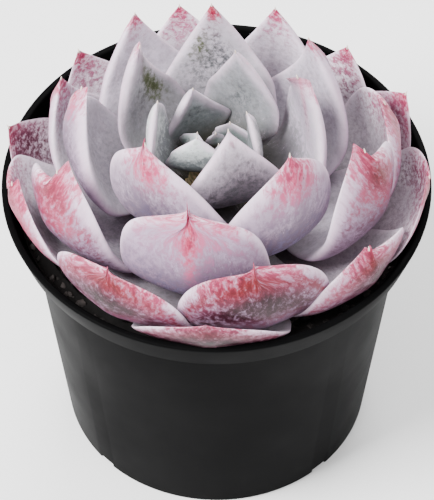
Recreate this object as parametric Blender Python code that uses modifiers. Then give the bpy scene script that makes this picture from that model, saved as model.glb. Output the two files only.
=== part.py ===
"""A rosette succulent growing in a round black nursery pot.

Frame: origin at the middle of the pot's foot, on the surface it stands on; +Z up; -Y is the front.
The leaves grow one after another round a short stem, each turned a golden angle from the last.
Every leaf lies on a cup-shaped shell of its own age, and the shells nest, so the leaves pack
closely without touching.
"""

import math

import bmesh
import bpy
from mathutils import Vector

MM = 0.001
FIT = 0.3 * MM  # gap between two pieces that touch

# Pot
POT_HEIGHT = 82 * MM
RIM_RADIUS = 54 * MM
LIP_WIDTH = 2 * MM
BAND_DEPTH = 8.6 * MM
BAND_FOOT_RADIUS = 51.2 * MM
WALL_TOP_RADIUS = 47.4 * MM
FOOT_RADIUS = 39.1 * MM
WALL = 1.6 * MM
FLOOR_THICKNESS = 1.8 * MM
FOOT_RING_HEIGHT = 2.4 * MM
FOOT_RING_WIDTH = 3.6 * MM
LIP_ROUND = 0.5 * MM
NOTCH_COUNT = 4
NOTCH_WIDTH = 4.8 * MM
NOTCH_HEIGHT = 1.6 * MM
FIRST_NOTCH_ANGLE = math.radians(43)
DRAIN_COUNT = 4
DRAIN_RADIUS = 4.5 * MM
DRAIN_INSET = 3 * MM  # from the foot ring to the edge of a drain hole
POT_STEPS = 72

# Soil and stem
SOIL_BELOW_RIM = 6 * MM  # at the wall
SOIL_DISH = 9 * MM  # how much lower the soil lies round the stem
DISH_POINTS = 6
STEM_DEPTH = 12 * MM
STEM_RADIUS = 8.6 * MM
STEM_OFFSET = (1.6 * MM, -5 * MM)
LEAN = (-0.08, 0.19)  # sideways shift of the rosette for each unit of height above the soil
SEAT_GAP = 0.8 * MM  # between the stem and the tip of a leaf's foot
STEM_STEPS = 24
STEM_POINTS = 16

# Rosette: leaf 1 is the youngest, in the heart, and leaf 39 the oldest
OLDEST = 39
SHED = (35, 36, 37)  # old leaves that have withered and gone
CLOSING = 0.5  # how far the leaves below a shed one have closed up, in steps of rank
YOUNGEST_ANGLE = 213.2  # degrees, counter-clockwise from +X
GOLDEN_ANGLE = 137.508
LEAF_SEGMENTS = 12
LEAF_RINGS = 11
LEAST_WRAP = 6 * MM  # nearer the axis than this, a leaf wraps round it no more tightly
SPREAD_INSIDE_RIM = 1 * MM  # how far the oldest tips stay inside the rim's edge

# How a leaf changes with its rank, which is its number less what the shed leaves left. Reach is from the
# rosette's axis, as a share of its spread; tips rise above the rim and feet above the soil round the
# stem; slopes are degrees above level; pulls are how far the curve of the back runs on from each end.
# Lengths are millimetres.
RANKS = (1, 5, 9, 13, 19, 26, 32, 37)
TIP_REACH = (0.03, 0.09, 0.235, 0.415, 0.67, 0.885, 0.985, 1.02)
TIP_RISE = (14, 18.5, 29.5, 33, 25.5, 14.5, 8.5, 6)
TIP_SLOPE = (100, 98, 102, 104, 104, 98, 84, 60)
TIP_PULL = (2, 4, 10.5, 18, 22, 16, 12, 12)
FOOT_REACH = (1.6, 4.6, 6.6, 8.0, 9.0, 9.5, 9.6, 9.6)
FOOT_RISE = (25.5, 24.5, 23, 21, 16.5, 9.5, 5, 1.5)
FOOT_SLOPE = (78, 50, 25, 4, -10, -5, 0, 1)
FOOT_PULL = (2, 4, 10, 16, 25, 31, 32, 33)
HALF_WIDTH = (2.2, 5.8, 10.4, 14, 18.4, 19, 20, 17)
FLARE = (0, 0.8, 1.3, 1.0, 0.4, -0.3, -0.5, 0)  # how far the margins stand out, in steps of rank
HALF_THICKNESS = (0.35, 0.75, 0.8, 1.05, 1.7, 2.4, 2.4, 2.3)  # counted in steps of rank

# Half of a leaf's outline, from its foot to its tip, as shares of its length and half width
STATIONS = (0, 0.12, 0.3, 0.5, 0.65, 0.78, 0.86, 0.92, 0.96, 1)
POINTED = (0.3, 0.46, 0.76, 0.97, 1.0, 0.84, 0.6, 0.37, 0.18, 0)
BLUNT = (0.3, 0.5, 0.82, 1.0, 1.0, 0.94, 0.79, 0.55, 0.29, 0)
FULLNESS = (0.2, 0.5, 0.7, 0.85, 0.95, 1.0, 0.95, 0.82, 0.6, 0)  # the thickness at the same stations
MARGIN_POWER = 0.15  # thins the margins a little more than a plain oval would
BACK_BULGE = 1.2  # the outer face stands out more than the inner one
FACE_BULGE = 0.8

# Leaves that grew a little out of place: turn in degrees, and reach in millimetres
GROWN = {
    4: (20, 0),
    6: (-8, 0.5),
    7: (14, 0),
    8: (3, 0),
    9: (2, 0.5),
    10: (5, -1),
    11: (10, -1),
    12: (6, 0.5),
    14: (8, 1),
    16: (2, 0),
    17: (3, 0),
    18: (4, -1.5),
    19: (4, 1),
    22: (-2, 0),
    24: (-8, 1.5),
    25: (0, -3),
    26: (1, -2.5),
    29: (-3, -1),
    30: (5, 0),
    31: (0, -1.5),
    32: (-3, 0),
    33: (0, -1.5),
}
BLUNT_LEAVES = (14, 16, 19, 21, 22, 24, 26, 27, 29, 30, 32, 34)

# Skins by age: the oldest leaf of each, its name and its colour
SKINS = (
    (8, "Pale teal young leaf", (0.36, 0.44, 0.44)),
    (20, "Powdery lavender leaf", (0.5, 0.45, 0.52)),
    (OLDEST, "Blushed old leaf", (0.4, 0.22, 0.28)),
)

RIM_TOP = POT_HEIGHT
SOIL_TOP = POT_HEIGHT - SOIL_BELOW_RIM
SOIL_LOW = SOIL_TOP - SOIL_DISH
BAND_FOOT = POT_HEIGHT - BAND_DEPTH
SPREAD = RIM_RADIUS - SPREAD_INSIDE_RIM


def collection(name):
    made = bpy.data.collections.new(name)
    bpy.context.scene.collection.children.link(made)
    return made


def material(name, colour, roughness):
    made = bpy.data.materials.new(name)
    made.use_nodes = True
    shader = made.node_tree.nodes["Principled BSDF"]
    shader.inputs["Base Color"].default_value = (*colour, 1)
    shader.inputs["Roughness"].default_value = roughness
    shader.inputs["Metallic"].default_value = 0
    return made


def add_object(name, mesh, group, skin=None):
    made = bpy.data.objects.new(name, mesh)
    if skin:
        mesh.materials.append(skin)
    group.objects.link(made)
    return made


def turned(name, profile, steps, group, skin):
    """A solid turned round Z from a profile that starts and ends on the axis, down its outer side."""
    mesh = bpy.data.meshes.new(name)
    edges = [(i, i + 1) for i in range(len(profile) - 1)]
    mesh.from_pydata([(radius, 0, height) for radius, height in profile], edges, [])
    made = add_object(name, mesh, group, skin)
    screw = made.modifiers.new("Turn", "SCREW")
    screw.steps = steps
    screw.render_steps = steps
    screw.use_merge_vertices = True
    screw.merge_threshold = 0.00005
    return made


def cutter(name, mesh, group, place, turn=0.0):
    made = add_object(name, mesh, group)
    made.location = place
    made.rotation_euler.z = turn
    made.hide_render = True
    made.display_type = "WIRE"
    return made


def block_mesh(name, size):
    mesh = bpy.data.meshes.new(name)
    form = bmesh.new()
    bmesh.ops.create_cube(form, size=1)
    bmesh.ops.scale(form, vec=Vector(size), verts=form.verts)
    form.to_mesh(mesh)
    form.free()
    return mesh


def rod_mesh(name, radius, height, segments=24):
    mesh = bpy.data.meshes.new(name)
    form = bmesh.new()
    bmesh.ops.create_cone(
        form, cap_ends=True, segments=segments, radius1=radius, radius2=radius, depth=height
    )
    form.to_mesh(mesh)
    form.free()
    return mesh


def cut(target, tool, solver="EXACT"):
    step = target.modifiers.new("Cut " + tool.name, "BOOLEAN")
    step.operation = "DIFFERENCE"
    step.solver = solver
    step.object = tool


def smooth_curve(places, values):
    """A smooth function through the points, with no overshoot between them and straight beyond."""
    gaps = [b - a for a, b in zip(places, places[1:])]
    slopes = [(b - a) / gap for a, b, gap in zip(values, values[1:], gaps)]
    tangents = [slopes[0]]
    for left, right, gap, after in zip(slopes, slopes[1:], gaps, gaps[1:]):
        if left * right <= 0:
            tangents.append(0.0)
            continue
        near, far = 2 * after + gap, after + 2 * gap
        tangents.append((near + far) / (near / left + far / right))
    tangents.append(slopes[-1])

    def value(place):
        if place < places[0]:
            return values[0] + (place - places[0]) * tangents[0]
        if place > places[-1]:
            return values[-1] + (place - places[-1]) * tangents[-1]
        i = min(len(gaps) - 1, sum(place > p for p in places[1:]))
        gap = gaps[i]
        t = (place - places[i]) / gap
        return (
            (1 + 2 * t) * (1 - t) ** 2 * values[i]
            + t * (1 - t) ** 2 * gap * tangents[i]
            + t * t * (3 - 2 * t) * values[i + 1]
            + t * t * (t - 1) * gap * tangents[i + 1]
        )

    return value


tip_reach = smooth_curve(RANKS, TIP_REACH)
tip_rise = smooth_curve(RANKS, TIP_RISE)
tip_slope = smooth_curve(RANKS, TIP_SLOPE)
tip_pull = smooth_curve(RANKS, TIP_PULL)
foot_reach = smooth_curve(RANKS, FOOT_REACH)
foot_rise = smooth_curve(RANKS, FOOT_RISE)
foot_slope = smooth_curve(RANKS, FOOT_SLOPE)
foot_pull = smooth_curve(RANKS, FOOT_PULL)
half_width = smooth_curve(RANKS, HALF_WIDTH)
half_thickness = smooth_curve(RANKS, HALF_THICKNESS)
flare = smooth_curve(RANKS, FLARE)
pointed_outline = smooth_curve(STATIONS, POINTED)
blunt_outline = smooth_curve(STATIONS, BLUNT)
fullness = smooth_curve(STATIONS, FULLNESS)


def rank_of(number):
    return number - CLOSING * sum(number > gone for gone in SHED)


def foot_of_shell(rank):
    return Vector((foot_reach(rank) * MM, SOIL_LOW + foot_rise(rank) * MM))


def on_shell(rank, share):
    """Radius and height on the shell of this rank, at a share of the way from its foot to its rim."""
    foot = foot_of_shell(rank)
    tip = Vector((tip_reach(rank) * SPREAD, RIM_TOP + tip_rise(rank) * MM))
    leave, arrive = math.radians(foot_slope(rank)), math.radians(tip_slope(rank))
    low = foot + foot_pull(rank) * MM * Vector((math.cos(leave), math.sin(leave)))
    high = tip - tip_pull(rank) * MM * Vector((math.cos(arrive), math.sin(arrive)))
    back = 1 - share
    return foot * back**3 + low * 3 * share * back**2 + high * 3 * share**2 * back + tip * share**3


def leaning(radius, angle, height):
    """A point of the rosette, whose axis stands on the stem's foot and leans with the plant."""
    above = height - SOIL_LOW
    return Vector((
        STEM_OFFSET[0] + LEAN[0] * above + radius * math.cos(angle),
        STEM_OFFSET[1] + LEAN[1] * above + radius * math.sin(angle),
        height,
    ))


def leaf_point(number, share, across, outward):
    """A point of a leaf: share of its length, across from -1 to 1, and outward from -1 to 1."""
    turn, longer = GROWN.get(number, (0, 0))
    angle = math.radians(YOUNGEST_ANGLE - GOLDEN_ANGLE * (number - 1) + turn)
    outline = blunt_outline if number in BLUNT_LEAVES else pointed_outline
    edge = max(0.0, 1 - across * across) ** MARGIN_POWER
    rank = rank_of(number)
    spine, _ = on_shell(rank, share)
    depth = outward * edge * fullness(share) * half_thickness(rank)
    depth *= BACK_BULGE if outward > 0 else FACE_BULGE
    depth += flare(rank) * across * across * math.sin(math.pi * share)
    radius, height = on_shell(rank + depth, share)
    radius += longer * MM * share
    wide = half_width(rank) * MM * outline(share) * across
    return leaning(radius, angle + wide / max(spine, LEAST_WRAP), height)


def build_leaf(number, group, skin):
    """A ball with its poles at the leaf's foot and tip, drawn out into the leaf."""
    name = f"leaf_{number:02d}"
    mesh = bpy.data.meshes.new(name)
    form = bmesh.new()
    bmesh.ops.create_uvsphere(form, u_segments=LEAF_SEGMENTS, v_segments=LEAF_RINGS, radius=1)
    for vert in form.verts:
        ring = math.hypot(vert.co.x, vert.co.y)
        share = min(1.0, max(0.0, (1 + vert.co.z) / 2))
        if ring < 1e-6:
            vert.co = leaf_point(number, share, 0, 0)
        else:
            vert.co = leaf_point(number, share, vert.co.x / ring, vert.co.y / ring)
    bmesh.ops.reverse_faces(form, faces=form.faces)
    form.to_mesh(mesh)
    form.free()
    mesh.shade_smooth()
    add_object(name, mesh, group, skin)


def wall_radius(height):
    """Outer radius of the tapered wall at this height."""
    return FOOT_RADIUS + (WALL_TOP_RADIUS - FOOT_RADIUS) * height / BAND_FOOT


def mouth_radius(height):
    """Inner radius of the band round the rim, which is a wall thick at its foot and a lip at the top."""
    low = BAND_FOOT_RADIUS - WALL
    share = (height - BAND_FOOT - WALL) / (BAND_DEPTH - WALL)
    return low + (RIM_RADIUS - LIP_WIDTH - low) * share


def build_pot(group, cutters):
    """The pot: a tapered wall with a stepped band, a lip, and a floor raised on a foot ring."""
    floor_top = FOOT_RING_HEIGHT + FLOOR_THICKNESS
    profile = [
        (0, floor_top),
        (wall_radius(floor_top) - WALL, floor_top),
        (WALL_TOP_RADIUS - WALL, BAND_FOOT),
        (mouth_radius(BAND_FOOT + WALL), BAND_FOOT + WALL),
        (mouth_radius(POT_HEIGHT - LIP_ROUND), POT_HEIGHT - LIP_ROUND),
        (RIM_RADIUS - LIP_WIDTH + LIP_ROUND, POT_HEIGHT),
        (RIM_RADIUS - LIP_ROUND, POT_HEIGHT),
        (RIM_RADIUS, POT_HEIGHT - LIP_ROUND),
        (BAND_FOOT_RADIUS, BAND_FOOT),
        (WALL_TOP_RADIUS, BAND_FOOT),
        (FOOT_RADIUS, 0),
        (FOOT_RADIUS - FOOT_RING_WIDTH, 0),
        (FOOT_RADIUS - FOOT_RING_WIDTH, FOOT_RING_HEIGHT),
        (0, FOOT_RING_HEIGHT),
    ]
    skin = material("Black plastic", (0.03, 0.03, 0.032), 0.5)
    pot = turned("pot", profile, POT_STEPS, group, skin)
    notch = block_mesh("notch", (3 * FOOT_RING_WIDTH, NOTCH_WIDTH, 2 * NOTCH_HEIGHT))
    for i in range(NOTCH_COUNT):
        angle = FIRST_NOTCH_ANGLE + i * math.tau / NOTCH_COUNT
        place = (FOOT_RADIUS * math.cos(angle), FOOT_RADIUS * math.sin(angle), 0)
        cut(pot, cutter(f"notch_{i + 1}", notch, cutters, place, angle))
    drain = rod_mesh("drain", DRAIN_RADIUS, 3 * FLOOR_THICKNESS)
    circle = FOOT_RADIUS - FOOT_RING_WIDTH - DRAIN_INSET - DRAIN_RADIUS
    for i in range(DRAIN_COUNT):
        angle = FIRST_NOTCH_ANGLE + i * math.tau / DRAIN_COUNT
        place = (circle * math.cos(angle), circle * math.sin(angle), floor_top)
        cut(pot, cutter(f"drain_{i + 1}", drain, cutters, place))


def dish_point(edge, share):
    """A point of the soil's top, which is lowest at the middle and level with the wall at its edge."""
    return edge * share, SOIL_LOW + SOIL_DISH * share**4


def build_soil(group, cutters):
    """The soil fills the pot to just under the rim, with a socket for the buried part of the stem."""
    bottom = FOOT_RING_HEIGHT + FLOOR_THICKNESS + FIT
    inset = WALL + FIT
    ledge = BAND_FOOT + WALL + FIT
    edge = mouth_radius(SOIL_TOP) - FIT if SOIL_TOP > ledge else wall_radius(SOIL_TOP) - inset
    profile = [dish_point(edge, i / DISH_POINTS) for i in range(DISH_POINTS + 1)]
    if SOIL_TOP > ledge:
        profile += [(mouth_radius(ledge) - FIT, ledge), (WALL_TOP_RADIUS - inset, ledge)]
    profile += [(wall_radius(bottom) - inset, bottom), (0, bottom)]
    skin = material("Dark gritty soil", (0.02, 0.017, 0.015), 0.95)
    soil = turned("soil", profile, POT_STEPS, group, skin)
    socket = rod_mesh("socket", STEM_RADIUS + FIT, 2 * (STEM_DEPTH + FIT))  # opens in the flat of the dish
    cut(soil, cutter("stem_socket", socket, cutters, (*STEM_OFFSET, SOIL_LOW)), "MANIFOLD")


def build_stem(group):
    """The short stem: a buried stub, and above the soil a dome that the leaves' feet stand on."""
    oldest = rank_of(OLDEST)
    feet = [foot_of_shell(1 + (oldest - 1) * i / STEM_POINTS) for i in range(STEM_POINTS + 1)]
    profile = [Vector((0, feet[0].y - SEAT_GAP))]
    for before, foot, after in zip(feet, feet, feet[1:]):
        along = (after - before).normalized() if after != before else Vector((0, -1))
        profile.append(foot - Vector((-along.y, along.x)) * SEAT_GAP)
    profile += [
        Vector((STEM_RADIUS, SOIL_LOW)),
        Vector((STEM_RADIUS, SOIL_LOW - STEM_DEPTH)),
        Vector((0, SOIL_LOW - STEM_DEPTH)),
    ]
    skin = material("Brown green stem", (0.16, 0.14, 0.08), 0.8)
    stem = turned("stem", [tuple(point) for point in profile], STEM_STEPS, group, skin)
    solid = bpy.data.meshes.new_from_object(stem.evaluated_get(bpy.context.evaluated_depsgraph_get()))
    for vert in solid.vertices:
        above = max(0, vert.co.z - SOIL_LOW)
        vert.co.x += STEM_OFFSET[0] + LEAN[0] * above
        vert.co.y += STEM_OFFSET[1] + LEAN[1] * above
    stem.modifiers.clear()
    stem.data = solid


def build():
    for old in list(bpy.data.objects):
        bpy.data.objects.remove(old, do_unlink=True)
    plant = collection("potted_succulent")
    cutters = collection("cutters")
    build_pot(plant, cutters)
    build_soil(plant, cutters)
    build_stem(plant)
    number = 1
    for oldest, name, colour in SKINS:
        skin = material(name, colour, 0.6)
        while number <= oldest:
            if number not in SHED:
                build_leaf(number, plant, skin)
            number += 1


build()
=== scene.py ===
"""A rosette succulent in a round black nursery pot.

Run as a script, it builds the pot, soil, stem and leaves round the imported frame, on a plain stage.
The frame is in metres, +Z up, with its origin under the middle of the pot and the front at -Y.
"""

import math
import random

import bmesh
import bpy
import numpy as np
from bpy.props import FloatProperty, FloatVectorProperty, IntProperty, PointerProperty
from mathutils import Euler, Matrix, Vector, noise


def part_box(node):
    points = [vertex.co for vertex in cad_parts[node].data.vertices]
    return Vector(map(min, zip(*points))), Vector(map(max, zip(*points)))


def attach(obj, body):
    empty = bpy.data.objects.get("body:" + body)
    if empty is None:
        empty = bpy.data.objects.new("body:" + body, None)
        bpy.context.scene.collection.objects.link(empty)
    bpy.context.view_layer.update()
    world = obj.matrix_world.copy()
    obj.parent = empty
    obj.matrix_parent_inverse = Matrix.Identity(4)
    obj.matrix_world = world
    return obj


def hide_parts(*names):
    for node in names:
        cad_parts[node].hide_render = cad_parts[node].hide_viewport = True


bl_info = {
    "name": "Potted rosette succulent",
    "version": (1, 0, 0),
    "blender": (4, 5, 0),
    "location": "3D View > Sidebar > Succulent",
    "description": "Builds a powdery rosette succulent in a round nursery pot, piece by piece",
    "category": "Add Mesh",
}

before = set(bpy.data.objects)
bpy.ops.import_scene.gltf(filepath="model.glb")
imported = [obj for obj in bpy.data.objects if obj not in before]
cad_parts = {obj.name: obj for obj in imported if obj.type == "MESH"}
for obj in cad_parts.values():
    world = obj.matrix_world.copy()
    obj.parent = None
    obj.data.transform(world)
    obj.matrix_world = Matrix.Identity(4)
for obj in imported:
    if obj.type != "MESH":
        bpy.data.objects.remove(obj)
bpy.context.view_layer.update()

MM = 0.001
POT_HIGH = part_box("pot")[1]
SOIL_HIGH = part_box("soil")[1]
POT_HEIGHT = POT_HIGH.z
RIM_RADIUS = POT_HIGH.x
SOIL_TOP = SOIL_HIGH.z
SOIL_DISH = 9 * MM  # how much lower the soil lies round the stem
SOIL_MIDDLE = SOIL_TOP - SOIL_DISH

# Sizes of the pot that its box doesn't give
LIP_WIDTH = 2 * MM
BAND_DEPTH = 8.6 * MM
BAND_FOOT_RADIUS = 51.2 * MM
WALL_TOP_RADIUS = 47.4 * MM
FOOT_RADIUS = 39.1 * MM
WALL = 1.6 * MM
FLOOR_THICKNESS = 1.8 * MM
FOOT_RING_HEIGHT = 2.4 * MM
FOOT_RING_WIDTH = 3.6 * MM
NOTCH_WIDTH = 4.8 * MM
NOTCH_HEIGHT = 1.6 * MM
FIRST_NOTCH_ANGLE = math.radians(43)
NOTCH_COUNT = 4
DRAIN_RADIUS = 4.5 * MM
DRAIN_INSET = 3 * MM
BAND_FOOT = POT_HEIGHT - BAND_DEPTH
FIT = 0.3 * MM  # gap between two pieces that touch

# Rosette, as the frame has it: leaf 1 is the youngest, in the heart
OLDEST = 39
SHED = (35, 36, 37)  # old leaves that have withered and gone
CLOSING = 0.5  # how far the leaves below a shed one have closed up, in steps of rank
YOUNGEST_ANGLE = 213.2  # degrees, counter-clockwise from +X
GOLDEN_ANGLE = 137.508
STEM_OFFSET = (1.6 * MM, -5 * MM)
LEAN = (-0.08, 0.19)  # sideways shift for each unit of height above the soil
LEAST_WRAP = 6 * MM  # nearer the axis than this, a leaf wraps round it no more tightly
SPREAD = RIM_RADIUS - 1 * MM

# How a leaf changes with its rank: reach as a share of the spread, slopes in degrees, lengths in
# millimetres, and thickness and flare in steps of rank
RANKS = (1, 5, 9, 13, 19, 26, 32, 37)
TIP_REACH = (0.03, 0.09, 0.235, 0.415, 0.67, 0.885, 0.985, 1.02)
TIP_RISE = (14, 18.5, 29.5, 33, 25.5, 14.5, 8.5, 6)
TIP_SLOPE = (100, 98, 102, 104, 104, 98, 84, 60)
TIP_PULL = (2, 4, 10.5, 18, 22, 16, 12, 12)
FOOT_REACH = (1.6, 4.6, 6.6, 8.0, 9.0, 9.5, 9.6, 9.6)
FOOT_RISE = (25.5, 24.5, 23, 21, 16.5, 9.5, 5, 1.5)
FOOT_SLOPE = (78, 50, 25, 4, -10, -5, 0, 1)
FOOT_PULL = (2, 4, 10, 16, 25, 31, 32, 33)
HALF_WIDTH = (2.2, 5.8, 10.4, 14, 18.4, 19, 20, 17)
FLARE = (0, 0.8, 1.3, 1.0, 0.4, -0.3, -0.5, 0)
HALF_THICKNESS = (0.35, 0.75, 0.8, 1.05, 1.7, 2.4, 2.4, 2.3)

# Half outlines and thickness from foot to tip, which end in a drawn-out point
STATIONS = (0, 0.12, 0.3, 0.5, 0.65, 0.78, 0.86, 0.92, 0.96, 0.985, 1)
POINTED = (0.3, 0.46, 0.78, 1.0, 0.95, 0.7, 0.47, 0.28, 0.14, 0.05, 0.02)
SHARP = (0.3, 0.58, 0.96, 0.9, 0.66, 0.42, 0.27, 0.16, 0.085, 0.04, 0.02)
BLUNT = (0.3, 0.5, 0.82, 1.0, 1.0, 0.92, 0.76, 0.5, 0.23, 0.06, 0.02)
ROUND = (0.3, 0.46, 0.76, 0.97, 1.02, 1.0, 0.93, 0.8, 0.63, 0.42, 0.02)
BROAD = (0.3, 0.46, 0.76, 0.97, 1.02, 1.0, 0.95, 0.84, 0.65, 0.36, 0.02)
FULLNESS = (0.2, 0.5, 0.7, 0.88, 0.98, 1.0, 0.9, 0.7, 0.44, 0.2, 0.05)
BACK_BULGE = 1.2
FACE_BULGE = 0.8

# Leaves that grew a little out of place: turn in degrees, and reach in millimetres
GROWN = {
    4: (20, 0), 6: (-8, 0.5), 7: (14, 0), 8: (3, 0), 9: (2, 0.5), 10: (5, -1), 11: (10, -1),
    12: (6, 0.5), 14: (8, 1), 16: (2, 0), 17: (3, 0), 18: (4, -1.5), 19: (4, 1), 22: (-2, 0),
    24: (-8, 1.5), 25: (0, -3), 26: (1, -2.5), 29: (-3, -1), 30: (5, 0), 31: (0, -1.5),
    32: (-3, 0), 33: (0, -1.5),
}
# Leaves with another outline than the pointed one
SHARP_LEAVES = (7, 10, 12, 15, 18, 20, 23, 25, 28, 31, 33)
BLUNT_LEAVES = (14, 16, 21, 22, 26, 29, 30, 32, 34)
BROAD_LEAVES = (19,)
ROUND_LEAVES = (24, 27)
WORN_POINTS = (19, 24, 27, 32)  # their dry points have broken off
# Leaves that stand askew: how far the two margins swing in and out, in steps of rank
TWIST = {13: -1.2, 17: -0.8, 21: 1.5, 22: -1.8, 26: 1.0, 29: 1.0, 30: -2.0, 34: 1.5}
# Young leaves whose blade turns on its own stalk, in degrees
FACING = {2: 30, 4: 60, 5: 60, 6: 38, 8: 47, 9: -37, 13: 12}
# Young leaves whose margins curl in or out by their own measure, in steps of rank
CURL = {3: 0, 4: 0, 5: 0, 6: 0.2, 7: -0.4, 8: 0, 9: 0, 10: 0.2, 12: 0.3}
# Leaves whose lower half swings round, in degrees at the foot
SWING = {11: -6, 14: 32, 16: -38}
FLATTEST = 0.75  # how little the youngest leaves wrap round the heart
# Lobes of the outline: place across, width and how far each stands out along the leaf
LOBES = {
    12: ((-0.5, 0.4, 0.05),),
    14: ((-0.6, 0.35, 0.04),),
    19: ((-0.62, 0.3, 0.075), (0.6, 0.35, 0.045)),
    24: ((0.55, 0.6, 0.05),),
    27: ((-0.55, 0.6, 0.04),),
    29: ((0.5, 0.4, 0.06),),
}


def linear(code):
    """A linear colour from a six-digit screen colour."""
    parts = [int(code[i:i + 2], 16) / 255 for i in (0, 2, 4)]
    return tuple(p / 12.92 if p <= 0.04045 else ((p + 0.055) / 1.055) ** 2.4 for p in parts)


# How a leaf's tones change with its rank, on its back (the outer face) and on its face
BACK_TONES = ("b4cbc6", "b0c0bf", "aca6ab", "aa98aa", "9c869e", "947890", "85606f", "5a4452")
FACE_TONES = ("82908d", "74807d", "8b8f92", "a6a2a8", "d0c4d4", "dcd0dc", "decedc", "c0a8b8")
# Painted shade: the dark olive that each leaf fades into toward its foot, deep in the rosette
FOOT_SHADE = linear("3c3b30")
MARGIN_TONE = linear("eccfe6")

STAIN_AND_PAINTED_LIGHT_TONES = {
    "blush": linear("b85f84"),
    "rose": linear("bd3b62"),
    "coral": linear("b01e3f"),
    "ember": linear("701019"),
    "wine": linear("2e101b"),
    "bloom": linear("bcaec0"),
    # Painted light: a pale grey laid over young heart leaves to make them look lit
    "painted_light": linear("d6dcdc"),
    "plum": linear("33242c"),
    # Painted shadow: dark olive where a neighbouring leaf shades a leaf's face
    "painted_shadow": linear("4f5636"),
    "smoke": linear("3d4142"),
    # Painted shade: a purple grey that darkens the lower backs of the front leaves
    "painted_shade": linear("756e8c"),
}
# Stains that mark single leaves, with painted light on leaves 4, 6 and 9, a painted shadow on the
# faces of 12 and 15 and painted shade on the lower backs of 14, 16 and 19: tone, side (1 back, -1
# face, 0 both), share along, place across, reach along, reach across, strength
STAINS_AND_PAINTED_LIGHT = {
    # Painted light on the backs of leaves 4 and 6
    4: (("painted_light", 1, 0.8, 0.0, 0.4, 1.3, 0.7),),
    6: (("painted_light", 1, 0.8, 0.0, 0.4, 1.3, 0.9),),
    7: (
        ("smoke", -1, 0.6, 0.1, 0.25, 0.5, 0.3),
        ("bloom", -1, 1.0, 0.3, 0.12, 1.5, 0.9),
    ),
    # Painted light on both sides of leaf 9
    9: (("painted_light", 0, 0.8, 0.0, 0.4, 1.3, 0.5),),
    10: (("smoke", -1, 0.5, 0.0, 0.2, 0.4, 0.3),),
    11: (("smoke", 1, 0.5, 0.1, 0.3, 0.7, 0.45),),
    12: (
        ("bloom", -1, 0.95, 0.5, 0.14, 0.9, 0.7),
        # Painted shadow on the face
        ("painted_shadow", -1, 0.66, -0.45, 0.2, 0.3, 1.0),
        ("smoke", -1, 0.72, 0.1, 0.2, 0.3, 0.2),
    ),
    13: (
        ("bloom", -1, 0.75, 0.0, 0.3, 1.3, 0.9),
        ("rose", -1, 0.9, -0.2, 0.2, 0.15, 0.4),
    ),
    14: (
        # Painted shade on the lower back
        ("painted_shade", 1, 0.5, 0.1, 0.3, 0.7, 0.5),
        ("plum", 1, 0.72, 0.15, 0.14, 0.35, 0.3),
        ("rose", 1, 0.94, 0.0, 0.06, 0.7, 0.7),
    ),
    15: (
        ("smoke", -1, 0.6, 0.0, 0.25, 0.5, 0.5),
        # Painted shadow on the face
        ("painted_shadow", -1, 0.74, 0.5, 0.1, 0.3, 0.6),
        ("coral", 0, 1.0, 0.0, 0.07, 1.5, 1.2),
    ),
    16: (
        ("rose", 1, 0.95, 0.1, 0.05, 0.7, 0.9),
        # Painted shade on the lower back
        ("painted_shade", 1, 0.5, 0.0, 0.3, 0.8, 0.6),
    ),
    19: (
        ("coral", 1, 0.95, 0.0, 0.07, 0.12, 0.9),
        ("rose", 1, 0.85, 0.0, 0.12, 0.07, 0.5),
        # Painted shade on the lower back
        ("painted_shade", 1, 0.5, 0.0, 0.3, 1.0, 0.6),
    ),
    21: (
        ("rose", 1, 0.9, 0.0, 0.1, 0.5, 0.6),
        ("ember", 1, 0.93, 0.0, 0.035, 0.35, 1.0),
        ("plum", 1, 0.6, 0.1, 0.2, 0.4, 0.4),
    ),
    22: (("rose", 1, 0.88, 0.1, 0.1, 0.5, 0.7),),
    26: (("rose", 1, 0.85, 0.0, 0.15, 0.2, 0.7),),
    29: (
        ("ember", 1, 0.94, 0.0, 0.04, 0.4, 1.0),
        ("wine", 1, 0.8, 0.0, 0.14, 0.3, 0.8),
    ),
    30: (("rose", 1, 0.85, 0.3, 0.12, 0.6, 0.7),),
    32: (("wine", 1, 0.85, 0.0, 0.25, 1.2, 0.85),),
    38: (("wine", -1, 0.85, 0.0, 0.3, 1.2, 0.5),),
}
# Red bands inside the margin of the older leaves: how far in each lies and how far it reaches, in
# millimetres, and its strength on each leaf, ember before wine
EMBER_BAND = (1.9, 1.3)
WINE_BAND = (6.5, 5.2)
BANDS = {
    21: (0.3, 0.3), 22: (0.5, 0.35), 24: (1.1, 1.15), 25: (0.4, 0.2), 26: (0.4, 0.25),
    27: (1.0, 1.1), 29: (0.7, 0.8), 30: (0.35, 0.4), 31: (0.5, 0.8), 32: (0.3, 1.1),
    33: (0.3, 0.6), 34: (0.4, 1.1), 38: (0.0, 1.1), 39: (0.2, 1.0),
}


class SucculentLeaves(bpy.types.PropertyGroup):
    """Sizes and finish of the leaves."""

    segments: IntProperty(name="Segments", description="Points round a leaf", default=40, min=12)
    rings: IntProperty(name="Rings", description="Rings along a leaf", default=36, min=12)
    spine: FloatProperty(
        name="Tip spine", description="Length of the dry point at a leaf's tip",
        default=1.0 * MM, unit="LENGTH")
    keel: FloatProperty(
        name="Keel", description="Height of the ridge down a leaf's back",
        default=0.9 * MM, unit="LENGTH")
    swell: FloatProperty(
        name="Swell", description="Height of the soft unevenness of a leaf's skin",
        default=0.35 * MM, unit="LENGTH")
    margin: FloatProperty(
        name="Margin", description="Width of the pale margin on a leaf's face",
        default=1.3 * MM, unit="LENGTH")
    roughness: FloatProperty(
        name="Roughness", description="Roughness of the powdered skin",
        default=0.56, min=0, max=1, subtype="FACTOR")


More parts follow.
